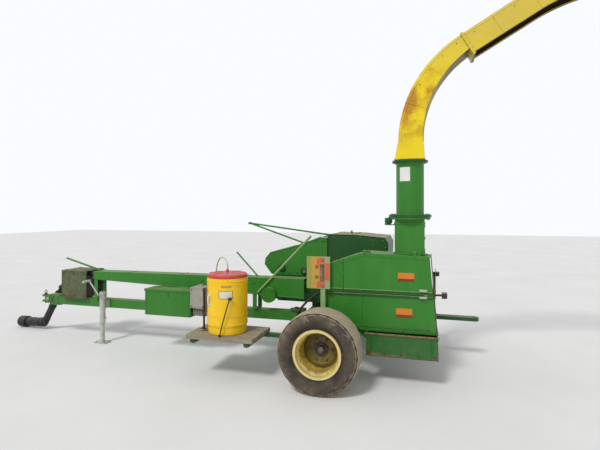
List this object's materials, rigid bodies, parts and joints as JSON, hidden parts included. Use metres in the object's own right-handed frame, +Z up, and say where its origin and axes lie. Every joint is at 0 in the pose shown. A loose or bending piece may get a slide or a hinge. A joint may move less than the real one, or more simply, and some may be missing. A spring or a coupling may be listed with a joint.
{
  "type": "pull-type forage harvester",
  "caption": "Parked pull-type forage harvester: swinging tongue with covered driveline, feed unit, cutter and blower, curved discharge spout, side additive tank.",
  "frame": {"origin": "bottom centre of the whole machine's bounding box, on the ground", "axes": "+X forward towards the tractor hitch, +Y to the machine's left, +Z up"},
  "size_m": [7.8283, 2.6198, 3.9274],
  "materials": {
    "green_paint": "weathered gloss",
    "dark_green_paint": "dusty gloss",
    "yellow_paint": "weathered gloss",
    "tyre_rubber": "dusty matt",
    "bare_steel": "dull",
    "shaft_black": "dull",
    "grey_paint": "faded",
    "jack_paint": "dusty",
    "tank_plastic": "dusty",
    "lid_plastic": "dusty",
    "board_wood": "weathered",
    "sign_paint": "faded",
    "lamp_plastic": "dull",
    "hose_plastic": "cloudy",
    "hose_rubber": "dusty matt",
    "pump_plastic": "dusty"
  },
  "bodies": {
    "chassis": {"axle_beam": "dark_green_paint", "main_frame": "dark_green_paint", "wagon_hitch": "dark_green_paint", "cutter_housing": "dark_green_paint", "cutterhead": "bare_steel", "feed_table": "dark_green_paint", "feed_roll_frame": "green_paint", "header_support_rods": "green_paint", "sharpener_hood": "dark_green_paint", "auger_tube": "dark_green_paint", "fan_housing": "green_paint", "fan_drive": "shaft_black", "shield_roof": "green_paint", "shield_front_left": "green_paint", "shield_lower_left": "dark_green_paint", "skid_box": "green_paint", "rear_panel": "dark_green_paint", "side_shield_right": "green_paint", "warning_panel": "sign_paint", "main_gearbox": "green_paint", "tank_platform": "dark_green_paint", "platform_board": "board_wood", "tank_body": "tank_plastic", "tank_lid": "lid_plastic", "rear_lamps": "lamp_plastic", "rear_emblem": "sign_paint", "tank_hose": "hose_plastic", "oil_hose": "hose_rubber"},
    "tongue_body": {"tongue": "green_paint", "hitch_head": "green_paint", "front_gearbox": "dark_green_paint", "gearbox_guard": "grey_paint", "driveline_shield": "green_paint", "driveline": "shaft_black", "jack": "jack_paint", "tool_box": "green_paint", "pump_box": "pump_plastic", "control_rod": "green_paint"},
    "lid_body": {"tool_box_lid": "green_paint"},
    "pto_body": {"pto_shaft": "shaft_black"},
    "shield_door": {"shield_door_left": "green_paint"},
    "roll_upper_front_body": {"roll_upper_front": "bare_steel"},
    "roll_lower_front_body": {"roll_lower_front": "bare_steel"},
    "roll_upper_rear_body": {"roll_upper_rear": "bare_steel"},
    "roll_lower_rear_body": {"roll_lower_rear": "bare_steel"},
    "wheel_left": {"rim_left": "yellow_paint", "tyre_left": "tyre_rubber"},
    "wheel_right": {"rim_right": "yellow_paint", "tyre_right": "tyre_rubber"},
    "spout_body": {"spout_column": "green_paint", "spout_lower": "yellow_paint", "spout_upper": "yellow_paint"},
    "cap_body": {"spout_cap": "yellow_paint"}
  },
  "joints": [
    {"name": "wheel_left_spin", "type": "hinge", "parent": "chassis", "child": "wheel_left", "pos_m": [-0.91972, 1.135, 0.385], "axis": [0, 1, 0], "continuous": true},
    {"name": "wheel_right_spin", "type": "hinge", "parent": "chassis", "child": "wheel_right", "pos_m": [-0.91972, -1.135, 0.385], "axis": [0, 1, 0], "continuous": true},
    {"name": "tongue_swing", "type": "hinge", "parent": "chassis", "child": "tongue_body", "pos_m": [-0.41972, 0.25, 0.49], "axis": [0, 0, 1], "range_deg": [0, 18]},
    {"name": "spout_rotate", "type": "hinge", "parent": "chassis", "child": "spout_body", "pos_m": [-1.70972, 0.6, 1.64], "axis": [0, 0, 1], "range_deg": [-100, 100]},
    {"name": "spout_cap_tilt", "type": "hinge", "parent": "spout_body", "child": "cap_body", "pos_m": [-3.50809, 0.6, 3.91738], "axis": [0, -1, 0], "range_deg": [-25, 35]},
    {"name": "tool_box_lid_open", "type": "hinge", "parent": "tongue_body", "child": "lid_body", "pos_m": [1.08528, 0.352, 0.7603], "axis": [1, 0, 0], "range_deg": [0, 75]},
    {"name": "shield_door_open", "type": "hinge", "parent": "chassis", "child": "shield_door", "pos_m": [-1.55972, 0.746, 1.29], "axis": [1, 0, 0], "range_deg": [0, 70]},
    {"name": "pto_lift", "type": "hinge", "parent": "tongue_body", "child": "pto_body", "pos_m": [3.05028, 0.12, 0.64], "axis": [0, -1, 0], "range_deg": [0, 40]},
    {"name": "roll_lower_front_spin", "type": "hinge", "parent": "chassis", "child": "roll_lower_front_body", "pos_m": [-0.12972, -0.44, 0.736], "axis": [0, 1, 0], "continuous": true},
    {"name": "roll_upper_front_spin", "type": "hinge", "parent": "chassis", "child": "roll_upper_front_body", "pos_m": [-0.12972, -0.44, 0.985], "axis": [0, 1, 0], "continuous": true},
    {"name": "roll_lower_rear_spin", "type": "hinge", "parent": "chassis", "child": "roll_lower_rear_body", "pos_m": [-0.41972, -0.44, 0.741], "axis": [0, 1, 0], "continuous": true},
    {"name": "roll_upper_rear_spin", "type": "hinge", "parent": "chassis", "child": "roll_upper_rear_body", "pos_m": [-0.41972, -0.44, 0.955], "axis": [0, 1, 0], "continuous": true}
  ],
  "couplings": [
    {"joint": "roll_lower_front_spin", "follows": "roll_upper_front_spin", "ratio": -1.4737},
    {"joint": "roll_upper_rear_spin", "follows": "roll_upper_front_spin", "ratio": 1.2727},
    {"joint": "roll_lower_rear_spin", "follows": "roll_upper_front_spin", "ratio": -1.5556}
  ]
}
